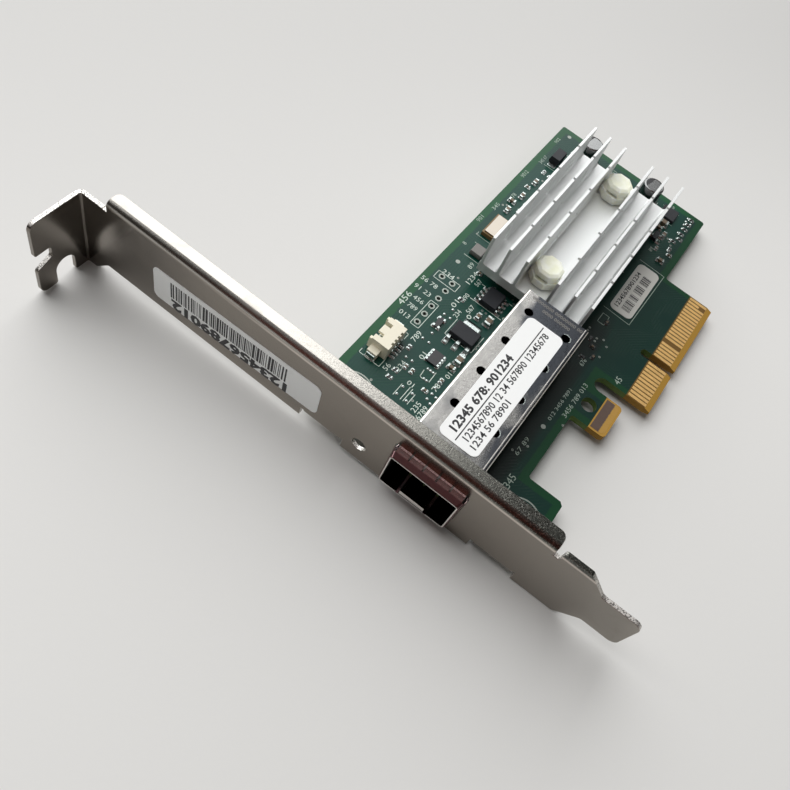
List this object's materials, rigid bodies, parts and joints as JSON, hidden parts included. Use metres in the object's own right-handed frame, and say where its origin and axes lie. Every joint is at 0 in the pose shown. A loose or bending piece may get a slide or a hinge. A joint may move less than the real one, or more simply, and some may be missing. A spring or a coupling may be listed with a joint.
{
  "type": "network interface card",
  "caption": "Single-port optical network card with a finned heat sink, transceiver cage and full-height slot bracket.",
  "frame": {"origin": "middle of the key notch at the tip of the edge connector, in the component-side surface of the board", "axes": "+X away from the bracket along the board, +Y from the edge connector towards the bracket's screw tab, +Z out of the component side"},
  "size_m": [0.1157, 0.12, 0.0216],
  "materials": {
    "board_laminate": "green solder mask, satin",
    "contact_gold": "gold plated, semi-bright",
    "bracket_steel": "nickel plated, satin",
    "screw_steel": "plated",
    "cage_steel": "tinned, satin",
    "spring_steel": "bright",
    "black_plastic": "moulded",
    "ivory_plastic": "moulded",
    "nylon": "milky, translucent",
    "sink_aluminium": "extruded, clear finish",
    "package_black": "moulded, matt",
    "substrate_green": "laminate",
    "die_grey": "polished silicon",
    "pad_grey": "soft thermal pad",
    "can_aluminium": "bright can",
    "lead_tin": "tinned",
    "capacitor_tan": "fired ceramic",
    "resistor_black": "glazed",
    "ceramic_brown": "ceramic",
    "lid_metal": "plated lid",
    "inductor_grey": "ferrite",
    "label_white": "paper label",
    "label_grey": "grey label",
    "lens_clear": "clear epoxy"
  },
  "bodies": {
    "root": {"circuit_board": "board_laminate", "edge_contacts_component": "contact_gold", "edge_contacts_solder": "contact_gold", "tab_contacts": "contact_gold", "test_points": "lead_tin", "io_bracket": "bracket_steel", "bracket_screws": "screw_steel", "sfp_cage_base": "cage_steel", "sfp_cage_cover": "cage_steel", "cage_emi_springs": "spring_steel", "host_connector_housing": "black_plastic", "host_connector_contacts": "contact_gold", "heatsink": "sink_aluminium", "controller_substrate": "substrate_green", "controller_die": "die_grey", "thermal_pad": "pad_grey", "push_pins": "nylon", "push_pin_springs": "spring_steel", "capacitor_cans": "can_aluminium", "capacitor_bases": "black_plastic", "capacitor_leads": "lead_tin", "wire_connector_housing": "ivory_plastic", "wire_connector_pins": "lead_tin", "wire_connector_lugs": "lead_tin", "status_led_base": "ivory_plastic", "status_led_lens": "lens_clear", "chip_capacitor_bodies": "capacitor_tan", "chip_capacitor_ends": "lead_tin", "chip_resistor_bodies": "resistor_black", "chip_resistor_ends": "lead_tin", "underside_capacitor_bodies": "capacitor_tan", "underside_capacitor_ends": "lead_tin", "cage_label": "label_white", "board_label": "label_grey", "bracket_label": "label_white", "regulator_body": "package_black", "regulator_leads": "lead_tin", "flash_memory_body": "package_black", "flash_memory_leads": "lead_tin", "small_transistor_body": "package_black", "small_transistor_leads": "lead_tin", "oscillator_body": "ceramic_brown", "oscillator_lid": "lid_metal", "power_inductor": "inductor_grey", "chip_array_bodies": "resistor_black", "chip_array_ends": "lead_tin", "clock_buffer": "package_black", "diode_body": "package_black", "diode_leads": "lead_tin"}
  },
  "joints": []
}
